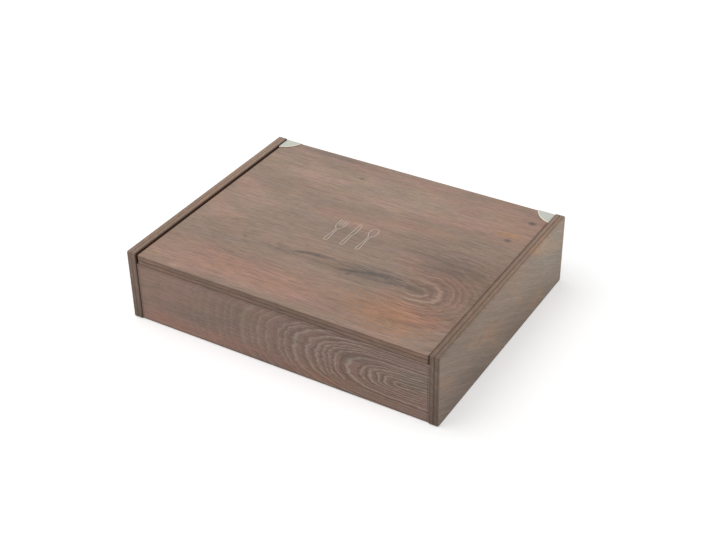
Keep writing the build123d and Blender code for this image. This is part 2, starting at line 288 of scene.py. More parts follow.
def makeLight():
    world = bpy.data.worlds.new("studio")
    world.use_nodes = True
    tree = world.node_tree
    background = tree.nodes["Background"]
    background.inputs["Color"].default_value = (1, 1, 1, 1)
    seen = raysOf(tree, "Is Glossy Ray", "Is Transmission Ray")
    strength = step(seen, 0.0, 1.0, stageSet["worldLight"], 1.0)
    wire(background.inputs["Strength"], strength)
    scene.world = world

    for name, (stand, size, power) in stageSet["lamps"].items():
        data = bpy.data.lights.new(name, "AREA")
        data.shape, data.size, data.energy = "SQUARE", size, power
        lamp = addObject(name, data)
        lamp.location = stand
        lamp.rotation_mode = "QUATERNION"
        lamp.rotation_quaternion = (-Vector(stand)).to_track_quat("-Z", "Y")


makeFloor()
makeLight()
scene.view_settings.view_transform = "Standard"
print("camera, floor and light placed")


# Shared effects: each is one node group, placed in several materials

foldPatches = {"scale": 0.08, "detail": 4, "roughness": 0.65}


def makeEdgeFold():
    # closeness to a board's edges, where the foil is folded round, from the corners of its box
    tree, take, give = startTree("Shader", "edgeFold", {
        "Position": (0, 0, 0), "Low": (0, 0, 0), "High": (1, 1, 1), "Inset": 1.5, "Width": 0.8, "Wander": 0.7,
    }, {"Mask": "Float"})
    below = vectorCalc("SUBTRACT", take["Position"], take["Low"])
    above = vectorCalc("SUBTRACT", take["High"], take["Position"])
    x, y, z = split(vectorCalc("MINIMUM", below, above))
    # the middle one of three distances is the way to the nearest edge
    lowPair, highPair = calc("MINIMUM", x, y), calc("MAXIMUM", x, y)
    toEdge = calc("MAXIMUM", lowPair, calc("MINIMUM", highPair, z))
    patchy = swing(noise(take["Position"], **foldPatches), take["Wander"])
    reach = times(take["Width"], plus(patchy, 1.0))
    offLine = absolute(minus(toEdge, take["Inset"]))
    wire(give["Mask"], step(ratio(offLine, reach), 0.25, 1.0, 1.0, 0.0))
    return tree


knotValues = {
    "hatchAlong": 0.1,
    "hatchAcross": 0.65,
    "hatchLevels": (0.4, 0.56),
    "rim": (0.06, 0.35, 0.35),  # steps of the unevenness of its rim
    "fade": (0.25, 1.1),  # whole within the first share of its size, gone at the second
}


def makeKnotSpot():
    # a soft oval mark at a place on the board
    tree, take, give = startTree("Shader", "knotSpot", {
        "Position": (0, 0, 0), "Along": 0.0, "Across": 0.0, "Length": 4.0, "Breadth": 2.0, "Lean": 0.0,
        "Ragged": 0.3, "Hatch": 0.0,
    }, {"Mask": "Float"})
    along, across, _ = split(take["Position"])
    u = minus(along, take["Along"])
    v = minus(minus(across, take["Across"]), times(u, take["Lean"]))
    # hatching breaks the mark up into short streaks
    short, narrow = times(u, knotValues["hatchAlong"]), times(v, knotValues["hatchAcross"])
    marks = noise(combine(short, narrow, 0.0), 1, 3, 0.6, 0.4)
    hatched = step(marks, *knotValues["hatchLevels"], minus(1.0, take["Hatch"]), 1.0)
    u, v = ratio(u, take["Length"]), ratio(v, take["Breadth"])
    away = calc("SQRT", plus(times(u, u), times(v, v)))
    rough = noise(vectorCalc("MULTIPLY", take["Position"], knotValues["rim"]), 1, 5, 0.7, 0.6)
    away = plus(away, swing(rough, take["Ragged"]))
    wire(give["Mask"], times(step(away, *knotValues["fade"], 1.0, 0.0), hatched))
    return tree


foilTones = {
    "olive": tone(147, 125, 109),
    "rose": tone(164, 132, 117),
    "amber": tone(180, 138, 104),
    "pale": tone(192, 173, 155),
    "late": tone(98, 80, 69),
    "pore": tone(84, 66, 55),
}
# steps along and across the grain, distortion, detail, and roughness where it isn't the usual one
foilPatterns = {
    "wave": (0.009, 0.02, 0.0, 3),
    "broadJitter": (0.05, 0.16, 0.0, 3),
    "fineJitter": (0.3, 0.6, 0.0, 2),
    "faint": (0.05, 0.1, 0.0, 3),
    "broken": (0.35, 0.5, 0.0, 2),
    "patch": (0.009, 0.026, 0.5, 4),
    "warm": (0.012, 0.03, 0.6, 3),
    "yellow": (0.02, 0.07, 0.3, 3),
    "cloud": (0.006, 0.02, 0.8, 3),
    "band": (0.006, 0.2, 0.5, 5, 0.6),
    "fibre": (0.022, 0.9, 0.2, 4, 0.65),
    "hair": (0.06, 2.6, 0.0, 3, 0.6),
    "pores": (0.1, 1.7, 0.0, 2),
    "dashes": (0.045, 0.8, 0.4, 3),
}
# where each pattern sets in and is full, and its values there
foilLevels = {
    "faint": (0.3, 0.56, 0.3, 1.0),
    "broken": (0.3, 0.5, 0.35, 1.0),
    "patch": (0.34, 0.66),
    "warm": (0.54, 0.7),
    "cloud": (0.35, 0.65, -0.06, 0.06),
    "band": (0.3, 0.7, 0.95, 1.05),
    "fibre": (0.3, 0.7, -0.15, 0.15),
    "hair": (0.3, 0.7, -0.15, 0.15),
    "pores": (0.57, 0.68),
    "dashes": (0.6, 0.72),
    "aslant": (0.35, 0.65, -0.07, 0.07),
}
foilValues = {
    "roughness": [0.55],
    "slope": 0.6,  # how far the figure shifts through a board
    "broadJitter": 3.4,
    "fineJitter": 0.9,
    "bunchStep": 0.35,
    "leftPull": 0.6,  # rings fade sooner on the eye's left
    "leftRings": -45.0,  # their share changes from here to the eye's right end
    "leftPale": (-22.0, 2.0),
    "paleLine": (0.04, 0.2),
    "yellow": 0.3,
    "aslant": (0.13, 0.6),
}
foilShares = {"late": 0.4, "pale": 0.75, "pores": 0.4, "dashes": 0.35}


def makeWalnutFoil():
    # printed walnut: growth rings about a long eye, patches of colour, fibres and pores
    tree, take, give = startTree("Shader", "walnutFoil", {
        "Position": (0, 0, 0), "Seed": 0.0, "Eye Left": 0.0, "Eye Right": 0.0, "Eye Across": 0.0,
        "Reach Left": 4.0, "Reach Right": 4.0, "Ring Pitch": 5.0, "Ring Contrast": 0.5, "Ring Fade": 60.0,
        "Ring Share Left": 1.0, "Pale Share Left": 1.0, "Pale Fade": 400.0, "Jitter": 1.0, "Bunching": 1.8,
        "Bluntness": 2.0, "Wave": 24.0, "Fine": 1.0, "Hatch": 0.0, "Rosy": 0.5, "Amber": 0.3,
    }, {"Color": "Color", "Roughness": "Float", "Height": "Float"})
    seedShift = combine(times(take["Seed"], 611.0), times(take["Seed"], 173.0), 0.0)
    shifted = vectorCalc("ADD", take["Position"], seedShift)
    u, v, w = split(take["Position"])

    def pattern(name):
        along, across, distortion, detail, *rough = foilPatterns[name]
        stretched = vectorCalc("MULTIPLY", shifted, (along, across, across))
        return noise(stretched, 1, detail, *(rough or foilValues["roughness"]), distortion)

    def levelled(name, value=None):
        return step(pattern(name) if value is None else value, *foilLevels[name])

    def square(value):
        return times(value, value)

    # rings are ovals about the eye, and squarer with more bluntness
    level = plus(v, times(w, foilValues["slope"]), swing(pattern("wave"), take["Wave"]))
    right = calc("MAXIMUM", minus(u, take["Eye Right"]), 0.0)
    left = calc("MAXIMUM", minus(take["Eye Left"], u), 0.0)
    aside = minus(level, take["Eye Across"])
    ahead = plus(ratio(right, take["Reach Right"]), ratio(left, take["Reach Left"]))
    ahead = calc("POWER", ahead, take["Bluntness"])
    beside = calc("POWER", absolute(aside), take["Bluntness"])
    away = calc("POWER", plus(ahead, beside), ratio(1.0, take["Bluntness"]))
    jitter = plus(*[swing(pattern(n), foilValues[n]) for n in ("broadJitter", "fineJitter")])
    ring = ratio(plus(away, times(jitter, take["Jitter"])), take["Ring Pitch"])
    bunchPlace = combine(times(ring, foilValues["bunchStep"]), take["Seed"], 0.0)
    bunch = times(noise(bunchPlace, 1, 1), take["Bunching"])
    phase = calc("FRACT", plus(ring, bunch))

    # rings fade away from the eye, sooner on its left
    pulled = times(left, foilValues["leftPull"])
    reached = calc("SQRT", plus(square(pulled), square(away)))

    def fadeAt(distance):
        return ratio(1.0, plus(square(square(ratio(reached, distance))), 1.0))

    pastEye = minus(u, take["Eye Right"])
    leftRings = step(pastEye, foilValues["leftRings"], 0.0, take["Ring Share Left"], 1.0)
    shown = times(fadeAt(take["Ring Fade"]), leftRings, take["Ring Contrast"], levelled("faint"))
    offMiddle = absolute(minus(phase, 0.5))
    paleLine = step(offMiddle, *foilValues["paleLine"], 1.0, 0.0)
    leftPale = step(pastEye, *foilValues["leftPale"], take["Pale Share Left"], 1.0)
    paleLine = times(paleLine, levelled("broken"), fadeAt(take["Pale Fade"]), leftPale)
    lateLine = step(phase, 0.5, 1.0)

    rosy = plus(pattern("patch"), minus(take["Rosy"], 0.5))
    colour = blend(levelled("patch", rosy), foilTones["olive"], foilTones["rose"])
    colour = blend(times(levelled("warm"), take["Amber"]), colour, foilTones["amber"])
    yellow = plus(swing(pattern("yellow"), foilValues["yellow"]), 1.0)
    colour = tinted(colour, 1.0, 1.0, yellow)
    fibre, hair, pores = pattern("fibre"), pattern("hair"), levelled("pores")
    fine = times(plus(levelled("fibre", fibre), levelled("hair", hair)), take["Fine"])
    streak = plus(levelled("band"), fine, levelled("cloud"))
    # short marks that run aslant
    long, short = foilValues["aslant"]
    slant = combine(times(plus(u, v), long), times(minus(u, v), short), take["Seed"])
    hatch = levelled("aslant", noise(slant, 1, 3, 0.6, 0.3))
    streak = plus(streak, times(hatch, take["Hatch"]))
    colour = tinted(colour, streak, streak, streak)
    marks = (("late", times(lateLine, shown), "late"), ("pale", times(paleLine, shown), "pale"),
             ("pores", pores, "pore"), ("dashes", levelled("dashes"), "late"))
    for name, mask, shade in marks:
        colour = blend(times(mask, foilShares[name]), colour, foilTones[shade])
    wire(give["Color"], colour)
    wire(give["Roughness"], step(fibre, 0.25, 0.75, 0.6, 0.5))
    height = minus(times(plus(fibre, hair), 0.5), times(pores, 0.6))
    wire(give["Height"], height)
    return tree


def makeClothPile():
    # short pile: lay of the nap, flecks of lighter fibre, and a fine height
    tree, take, give = startTree("Shader", "clothPile", {
        "Position": (0, 0, 0), "Pile": 2.2, "Nap Size": 0.03,
    }, {"Nap": "Float", "Fleck": "Float", "Height": "Float"})
    nap = noise(take["Position"], take["Nap Size"], 4, 0.6, 0.2)
    fine = noise(take["Position"], take["Pile"], 4, 0.7)
    lain = vectorCalc("MULTIPLY", take["Position"], (1.3, 0.5, 0.9))
    fleck = noise(lain, take["Pile"], 2, 0.5, 2.0)
    wire(give["Nap"], step(nap, 0.35, 0.65))
    wire(give["Fleck"], step(fleck, 0.58, 0.72))
    wire(give["Height"], plus(times(fine, 0.7), times(nap, 0.3)))
    return tree


def makeBrushedMetal():
    # fine brush lines, and a faint clouding of the plating
    tree, take, give = startTree("Shader", "brushedMetal", {
        "Position": (0, 0, 0), "Stretch": (0.4, 9.0, 9.0),
    }, {"Line": "Float", "Cloud": "Float"})
    line = noise(vectorCalc("MULTIPLY", take["Position"], take["Stretch"]), 1, 3, 0.6)
    cloud = noise(take["Position"], 0.35, 3, 0.6)
    wire(give["Line"], step(line, 0.3, 0.7))
    wire(give["Cloud"], step(cloud, 0.35, 0.65))
    return tree


edgeFold, knotSpot, walnutFoil = makeEdgeFold(), makeKnotSpot(), makeWalnutFoil()
clothPile, brushedMetal = makeClothPile(), makeBrushedMetal()


# Foil-wrapped boards, with sizes in millimetres

foilSet = {
    # the colour of the foil's fold lines, and of the painted shade at the seams
    "foldAndSeamShade": tone(84, 60, 48),
    "foldShare": 0.45,
    "foldOnFaces": 0.1,
    "foldInset": 1.7,
    "foldWidth": 0.9,
    # the seam's painted shade: a thin dark line in the groove between two plies
    "seamShadeWidths": (0.3, 1.25),
    "edgeTone": (0.82, 0.74, 0.68, 1.0),  # the narrow faces are darker and redder
    # painted shade for a side panel's inner face, in the gaps beside the lid and the front panel
    "insideColour": tone(66, 44, 31),
    "insideFrom": 0.3,
    "insideBlend": 0.4,
    "coreColour": tone(132, 104, 80),
    "coreDark": tone(98, 75, 57),
    "coreFacing": 1,
    "coreBelow": 0.9,
    "bumpDistance": 0.00005,  # in metres
}
# the axes along the grain, across it and through the board: first on its faces, then on its ends
grain = {
    "side": ((1, 2, 0), (2, 1, 0)),
    "front": ((0, 2, 1), (1, 2, 0)),
    "lid": ((0, 1, 2), (1, 2, 0)),
    "cross": ((0, 2, 1), (2, 1, 0)),
}


def boardPosition(tree, axes, origin, turn):
    # where a point lies on its board, along and across the grain
    position, coordinates = millimetres(tree)
    normal = split(coordinates.outputs["Normal"])
    offsets = split(vectorCalc("SUBTRACT", position, origin))
    onFaces, onEnds = axes
    isEnd = calc("GREATER_THAN", absolute(normal[onFaces[0]]), 0.7)
    faces, ends = (combine(*[offsets[i] for i in order]) for order in (onFaces, onEnds))
    # 4 and 5 are the node's two vectors
    mixed = place(tree, "ShaderNodeMix", {0: isEnd, 4: faces, 5: ends}, data_type="VECTOR")
    values = {"Vector": mixed.outputs[1], "Angle": math.radians(turn)}
    turned = result(tree, "ShaderNodeVectorRotate", values, rotation_type="Z_AXIS")
    return position, turned, normal


def panelCorners(names):
    # the corners of the box round all the plies of one panel
    boxes = [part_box(name) for name in names]
    low = tuple(min(b[0][i] for b in boxes) / mm for i in range(3))
    return {"Low": low, "High": tuple(max(b[1][i] for b in boxes) / mm for i in range(3))}


def foilMaterial(nodeName, axes, foil, origin=(0, 0, 0), spots=(), zones=(), fades=(), broad=None, plies=None,
                 edgeTone=None, inset=None, seam=None, inside=None, sawn=False, turn=0):
    material, tree, shader = startMaterial(nodeName + "_foil")
    position, board, normal = boardPosition(tree, axes, origin, turn)
    made = useGroup(walnutFoil, {"Position": board, **foil})
    colour, roughness, height = made["Color"], made["Roughness"], made["Height"]

    def maskOf(values):
        return useGroup(knotSpot, {"Position": board, **values})["Mask"]

    for values, share, shade in spots:
        colour = blend(times(maskOf(values), share), colour, shade)
    for values, tint in zones:
        colour = blend(maskOf(values), colour, tinted(colour, *tint))
    for axis, low, high, least, most in fades:
        shade = step(split(position)[axis], low, high, least, most)
        colour = tinted(colour, shade, shade, shade)
    share = foilSet["foldShare"]
    if broad is not None:
        narrow = step(absolute(normal[broad]), 0.6, 0.8, 1.0, 0.0)
        colour = blend(narrow, colour, edgeTone or foilSet["edgeTone"], "MULTIPLY")
        share = step(narrow, 0.0, 1.0, foilSet["foldOnFaces"], foilSet["foldShare"])
    line = {"Position": position, "Inset": inset or foilSet["foldInset"], "Width": foilSet["foldWidth"]}
    fold = useGroup(edgeFold, {**line, **panelCorners(plies or [nodeName])})["Mask"]
    colour = blend(times(fold, share), colour, foilSet["foldAndSeamShade"])
    if seam:
        # painted shade: a thin dark line in the groove where the two plies meet
        axis, level, share = seam
        away = absolute(minus(split(position)[axis], level))
        line = step(away, *foilSet["seamShadeWidths"], share, 0.0)
        colour = blend(times(line, narrow), colour, foilSet["foldAndSeamShade"])
    if inside:
        # painted shade: a side panel's inner face, in shade in the gaps beside the lid and the front panel,
        # is darkened
        axis, sign = inside
        least = foilSet["insideFrom"]
        paintedShade = step(times(normal[axis], sign), least, least + foilSet["insideBlend"])
        colour = blend(paintedShade, colour, foilSet["insideColour"])
    if sawn:
        # slots and notches show the brown core of the board
        flat = calc("LESS_THAN", absolute(normal[foilSet["coreFacing"]]), 0.6)
        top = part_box(nodeName)[1].z / mm
        lower = calc("LESS_THAN", split(position)[2], top - foilSet["coreBelow"])
        cut = times(flat, lower)
        chips = step(noise(position, 1.8, 4, 0.7), 0.35, 0.65)
        fibre = blend(chips, foilSet["coreColour"], foilSet["coreDark"])
        colour = blend(cut, colour, fibre)
        roughness = plus(roughness, times(cut, 0.3))
    wire(shader.inputs["Base Color"], colour)
    wire(shader.inputs["Roughness"], roughness)
    addBump(shader, height, foilSet["bumpDistance"])
    return material


def dress(nodeName, material):
    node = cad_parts[nodeName]
    for holder in node.material_slots:
        holder.material = material
    if not node.material_slots:
        node.data.materials.append(material)


def spot(along, across, length, breadth, share, shade, lean=0.0, ragged=0.3, hatch=0.0):
    # a mark of its own colour
    values = {"Along": along, "Across": across, "Length": length, "Breadth": breadth, "Lean": lean,
              "Ragged": ragged, "Hatch": hatch}
    return values, share, shade


def zone(along, across, length, breadth, tint, lean=0.0, ragged=1.2):
    # a wide part of the board that is lighter, darker or warmer
    values, _, tint = spot(along, across, length, breadth, 1.0, tint, lean, ragged)
    return values, tint


# along and across the grain, length, breadth, share or none, colour or tint, lean, raggedness, hatching
charcoal, umber, brick, rosyBrown = tone(84, 78, 73), tone(104, 88, 76), tone(120, 84, 70), tone(150, 112, 98)
moss, ash = tone(100, 92, 76), tone(104, 96, 90)
lidSpots = [spot(*row) for row in (
    (-22, -56, 26, 3.4, 0.95, charcoal, 0.24, 1.3, 0.5),
    (-2, -54, 18, 3, 0.8, charcoal, 0.2, 1.5, 0.6),
    (-60, -66, 34, 5, 0.3, charcoal, 0, 2, 0.5),
    (38, -63, 18, 4, 0.95, charcoal, 0.22, 1.6, 0.7),
    (60, -57, 22, 4.5, 0.95, charcoal, 0.24, 1.6, 0.7),
    (80, -53, 22, 4, 0.85, charcoal, 0.1, 1.6, 0.7),
    (96, -62, 24, 4, 0.7, charcoal, 0.15, 1.6, 0.7),
    (39, -69, 5, 3, 0.6, charcoal, 0.3, 0.8),
    (66, -57, 50, 16, 0.5, charcoal, 0.05, 2, 0.6),
    (122, -57, 22, 13, 0.55, moss, 0, 1.8, 0.5),
    (-104, -60, 4, 3, 0.4, charcoal, 0, 0.8),
    (-105, 149, 75, 6, 0.65, ash, 0, 1.8, 0.4),
    (-90, 69, 40, 2.5, 0.45, brick, 0, 1.6),
    (-75, 106, 18, 2, 0.45, brick, 0.05, 1.4),
    (-53, 118, 4.5, 3.5, 0.6, charcoal, 0, 0.8),
    (172, 125, 7, 5, 0.85, charcoal, 0, 0.8),
    (163, 78, 6, 4.5, 0.75, charcoal, 0, 0.9),
)]
lidZones = [zone(*row) for row in (
    (172, -40, 105, 95, (0.8, 0.74, 0.72)),
    (150, 110, 110, 60, (1.05, 0.98, 0.97)),
    (10, -60, 110, 20, (0.84, 0.83, 0.82)),
    (-20, 102, 210, 42, (1.25, 1.26, 1.26)),
    (-95, 12, 100, 34, (1.1, 1.11, 1.12)),
    (110, 45, 80, 12, (0.9, 0.9, 0.9), 0.28),
    (-60, -118, 250, 46, (1.11, 0.99, 0.96)),
    (118, -112, 70, 44, (1.22, 1.01, 0.82), 0, 2.6),
    (120, 0, 78, 34, (0.87, 0.87, 0.87)),
    (162, -96, 44, 24, (0.92, 0.91, 0.91)),
    (-165, -10, 60, 60, (1.04, 1.04, 1.04)),
    (148, -40, 52, 32, (1.06, 0.96, 0.95)),
    (158, 88, 26, 8, (1.1, 1, 0.8)),
    (60, 52, 60, 12, (1.08, 0.98, 0.92), 0.1),
)]
# each fade is an axis, where it starts and ends on it, and the brightness there
lidEndLight = [(0, -186.8, -184.4, 1.45, 1), (0, 184.9, 187, 1, 1.25)]  # painted light: the lid is paler at its ends, against the shade in the gaps beside them
lidFoil = {
    "Seed": 1.3, "Eye Left": -20, "Eye Right": 124, "Eye Across": -57, "Reach Left": 3.6,
    "Reach Right": 1.3, "Ring Pitch": 8.4, "Ring Contrast": 1, "Ring Fade": 96, "Ring Share Left": 0.6,
    "Pale Share Left": 0.08, "Pale Fade": 30, "Jitter": 2.4, "Bunching": 3, "Fine": 1.4, "Hatch": 0.7,
    "Rosy": 0.42, "Amber": 0.15,
}
lidUnderSeed = 3.4
frontFoil = {
    "Seed": 4.1, "Eye Left": 158, "Eye Right": 190, "Eye Across": 38, "Reach Left": 3.1,
    "Reach Right": 2.6, "Ring Pitch": 3.7, "Ring Contrast": 1.5, "Ring Fade": 108, "Wave": 9,
    "Jitter": 1.2, "Bunching": 3.4, "Bluntness": 2.7, "Fine": 1.15, "Hatch": 0.5, "Rosy": 0.6, "Amber": 0.25,
}
frontSpots = [spot(*row) for row in (
    (-150, 12, 60, 9, 0.4, rosyBrown, 0, 1.4),
    (20, 10, 150, 9, 0.35, rosyBrown, 0, 1.6),
    (150, 74, 40, 6, 0.3, rosyBrown, 0, 1.4),
    (95, 52, 34, 8, 0.35, umber, 0.1, 1.6),
)]
frontZones = [zone(*row) for row in (
    (-145, 9, 70, 15, (1.24, 1.14, 1.13), 0, 3),
    (-55, 12, 60, 12, (1.18, 1.1, 1.09), 0.05, 3),
    (35, 8, 70, 12, (1.2, 1.1, 1.08), 0, 3),
    (125, 20, 100, 26, (1.04, 0.96, 0.93)),
)]
frontFades = [(0, -190, 60, 0.93, 0.8)]
backFoil = {**frontFoil, "Seed": 5.2, "Eye Left": -70, "Eye Right": -20, "Eye Across": 120,
            "Ring Pitch": 6}
sideFoil = {
    "Seed": 7.7, "Eye Left": -60, "Eye Right": 60, "Eye Across": -260, "Reach Left": 9,
    "Reach Right": 9, "Ring Pitch": 9, "Ring Contrast": 0.3, "Ring Fade": 400, "Fine": 0.8,
    "Rosy": 0.34, "Amber": 0.5,
}
sideSpots = [spot(*row) for row in (
    (-70, -20, 70, 12, 0.3, umber, 0, 1.8),
    (30, 20, 80, 12, 0.2, umber, 0, 1.8),
)]
sideZones = [zone(*row) for row in (
    (85, 95, 85, 60, (0.95, 1.06, 1.08)),
    (0, 20, 200, 90, (1, 1, 0.94)),
)]
sideSet = {
    "left": {"sign": -1, "seed": 2.9, "edgeTone": (0.98, 0.91, 0.86, 1), "seamShadeShare": 0.25},
    "right": {"sign": 1, "seed": 7.7, "edgeTone": (0.8, 0.73, 0.67, 1), "seamShadeShare": 0.6},
}
# painted shade: the side panels darker towards the bottom, where the floor beside them is in shadow; also
# darker towards the front
sideLowShadeAndFade = [(2, 0, 70, 0.68, 0.98), (1, -157, 157, 0.86, 1.22)]
sideTurn = 27  # degrees
innerPlySeed = 0.6
dividerSeeds = {"knife_divider": 11.3, "fork_divider": 12.3, "spoon_divider": 13.3}
crossSeed, sawnSeed = 14.6, 16.2


def wrap(name, *values, **extras):
    dress(name, foilMaterial(name, *values, **extras))


def wrapBoards():
    for side, values in sideSet.items():
        outer, inner = plies = [f"{side}_side_outer_ply", f"{side}_side_inner_ply"]
        outwards = 1 if values["sign"] > 0 else 0
        seam = (0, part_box(inner)[outwards].x / mm, values["seamShadeShare"])
        shared = {"plies": plies, "edgeTone": values["edgeTone"], "seam": seam, "turn": sideTurn, "broad": 0}
        for name, added, inside in ((outer, 0.0, None), (inner, innerPlySeed, (0, -values["sign"]))):
            foil, face = {**sideFoil, "Seed": values["seed"] + added}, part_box(name)[outwards].x / mm
            wrap(name, grain["side"], foil, (face, 0, 0), sideSpots, sideZones, sideLowShadeAndFade, inside=inside,
                 **shared)
    front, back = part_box("front_panel")[0].y / mm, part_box("back_panel")[1].y / mm
    wrap("front_panel", grain["front"], frontFoil, (0, front, 0), frontSpots, frontZones, frontFades)
    wrap("back_panel", grain["front"], backFoil, (0, back, 0))
    seamLevel, top = (corner.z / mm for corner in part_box("lid_top_ply"))
    edges = {"broad": 2, "plies": ["lid_top_ply", "lid_bottom_ply"], "inset": 1.3,
             "seam": (2, seamLevel, 0.5)}
    wrap("lid_top_ply", grain["lid"], lidFoil, (0, 0, top), lidSpots, lidZones, lidEndLight, **edges)
    wrap("lid_bottom_ply", grain["lid"], {**lidFoil, "Seed": lidUnderSeed}, (0, 0, top), **edges)
    for name, seed in dividerSeeds.items():
        wrap(name, grain["side"], {**sideFoil, "Seed": seed})
    wrap("cross_divider", grain["cross"], {**sideFoil, "Seed": crossSeed})
    for order, name in enumerate(sorted(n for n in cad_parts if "comb" in n or "cradle" in n)):
        wrap(name, grain["cross"], {**sideFoil, "Seed": sawnSeed + order}, sawn=True)


wrapBoards()
print("boards wrapped")


# Plain wood and metal

plainWood = {"grain": (5, 0.7), "levels": (0.32, 0.68), "bump": 0.0001}
hardboard = {**plainWood, "tones": (tone(128, 98, 72), tone(98, 72, 52)), "stretch": (1.1, 1.1, 1.1),
             "roughness": (0.64, 0.82)}
beech = {**plainWood, "tones": (tone(214, 182, 140), tone(186, 150, 108)), "stretch": (0.15, 2.0, 2.0),
         "roughness": (0.52, 0.7)}
metalSet = {
    "nickel": {"bright": tone(212, 214, 205), "dull": tone(200, 203, 193), "roughness": 0.6,
               "metallic": 0.2, "stretch": (0.5, 7.0, 7.0)},
    "steel": {"bright": tone(205, 206, 208), "dull": tone(176, 178, 180), "roughness": 0.3,
              "metallic": 1.0, "stretch": (6.0, 6.0, 6.0)},
    "brass": {"bright": tone(212, 178, 108), "dull": tone(180, 146, 84), "roughness": 0.28,
              "metallic": 1.0, "stretch": (9.0, 1.0, 1.0)},
}
plateSet = {
    # painted highlight: the bright colour along the plate's arc
    "rim": tone(240, 231, 212),
    # painted shade: the dark colour down the plate's walls
    "wallShade": tone(128, 112, 96),
    "radius": 30.5,
    "centreOffset": 7.95,  # from the lid's end and from the chest's rear
    "rimHighlightWidths": (0.9, 1.9),
}


def mottledMaterial(name, values):
    # two tones, a roughness and a height that follow one stretched noise
    material, tree, shader = startMaterial(name)
    position, _ = millimetres(tree)
    marks = noise(vectorCalc("MULTIPLY", position, values["stretch"]), 1, *values["grain"])
    colour = blend(step(marks, *values["levels"]), *values["tones"])
    wire(shader.inputs["Base Color"], colour)
    wire(shader.inputs["Roughness"], step(marks, 0.3, 0.7, *values["roughness"]))
    addBump(shader, marks, values["bump"])
    return material


def metalMaterial(name, label=None, arc=None):
    values = metalSet[name]
    rough = values["roughness"]
    material, tree, shader = startMaterial(label or name, rough, values["metallic"])
    position, coordinates = millimetres(tree)
    made = useGroup(brushedMetal, {"Position": position, "Stretch": values["stretch"]})
    colour = blend(made["Cloud"], values["bright"], values["dull"])
    if arc:
        # a painted highlight along the plate's arc, and painted shade down its walls
        *centre, radius = arc
        offsets = [absolute(minus(at, middle)) for at, middle in zip(split(position), centre)]
        away = calc("SQRT", plus(*[calc("POWER", offset, 2.0) for offset in offsets]))
        rim = step(minus(radius, away), *plateSet["rimHighlightWidths"], 1.0, 0.0)
        colour = blend(rim, colour, plateSet["rim"])
        wallShade = step(split(coordinates.outputs["Normal"])[2], 0.2, 0.5, 1.0, 0.0)
        colour = blend(wallShade, colour, plateSet["wallShade"])
    wire(shader.inputs["Base Color"], colour)
    wire(shader.inputs["Roughness"], step(made["Line"], 0.0, 1.0, rough - 0.06, rough + 0.08))
    addBump(shader, made["Line"], 0.00002)
    return material


def plateMaterial(side, sign):
    lidEnd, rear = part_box("lid_top_ply")[1].x / mm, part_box("back_panel")[1].y / mm
    offset = plateSet["centreOffset"]
    arc = (sign * (lidEnd + offset), rear + offset, plateSet["radius"])
    return metalMaterial("nickel", f"{side}_plate_nickel", arc)


steel, brass = metalMaterial("steel"), metalMaterial("brass")
dress("bottom_panel", mottledMaterial("hardboard", hardboard))
dress("panel_dowels", mottledMaterial("beech", beech))
for side, values in sideSet.items():
    dress(f"{side}_hinge_plate", plateMaterial(side, values["sign"]))
    dress(f"{side}_hinge_pin", steel)
    dress(f"{side}_hinge_bush", brass)
dress("hinge_screws", steel)
print("metal and plain wood dressed")


# Linings, with sizes in metres

clothSet = {
    "felt": {"deep": tone(50, 45, 43), "light": tone(62, 56, 53), "fleck": tone(112, 105, 100),
             "roughness": 0.95, "pile": 2.4, "napSize": 0.05, "sheen": 0.25, "bump": 0.0004},
    "velvet": {"deep": tone(46, 40, 38), "light": tone(60, 53, 50), "fleck": tone(96, 88, 84),
               "roughness": 0.8, "pile": 4.5, "napSize": 0.012, "sheen": 0.35, "bump": 0.00015},
}


def clothMaterial(name):
    values = clothSet[name]
    material, tree, shader = startMaterial(name, values["roughness"])
    shader.inputs["Sheen Weight"].default_value = values["sheen"]
    shader.inputs["Sheen Roughness"].default_value = 0.4
    position, _ = millimetres(tree)
    pile = {"Position": position, "Pile": values["pile"], "Nap Size": values["napSize"]}
    made = useGroup(clothPile, pile)
    colour = blend(made["Nap"], values["deep"], values["light"])
    colour = blend(times(made["Fleck"], 0.4), colour, values["fleck"])
    wire(shader.inputs["Base Color"], colour)
    addBump(shader, made["Height"], values["bump"])
    return material


felt, velvet = clothMaterial("felt"), clothMaterial("velvet")
alongX, alongY, alongZ = Vector((1, 0, 0)), Vector((0, 1, 0)), Vector((0, 0, 1))


def makeMesh(name, points, faces, material):
    mesh = meshOf(name, points, faces)
    shape = bmesh.new()
    shape.from_mesh(mesh)
    bmesh.ops.recalc_face_normals(shape, faces=shape.faces)
    shape.to_mesh(mesh)
    shape.free()
    mesh.polygons.foreach_set("use_smooth", [True] * len(mesh.polygons))
    mesh.materials.append(material)
    return addObject(name, mesh)


def gridLines(half, values, curveSteps=5):
    # close together in the rounded edge and beside the seam, and even between
    edge, pitch = values["edge"], values["pitch"]
    inner = half - edge
    outer = [inner + edge * math.sin(math.pi / 2 * i / curveSteps) for i in range(1, curveSteps + 1)]
    if "seamInset" in values:
        line, beside = half - values["seamInset"], values["seamBeside"]
        reach = inner - line - beside
        count = round(reach / pitch)
        border = [line + beside + reach * i / count for i in range(1, count + 1)]
        outer = [line, line + beside] + border + outer
        inner = line - beside
    count = max(2, round(2 * inner / pitch))
    middle = [-inner + 2 * inner * i / count for i in range(count + 1)]
    return [-o for o in reversed(outer)] + middle + outer


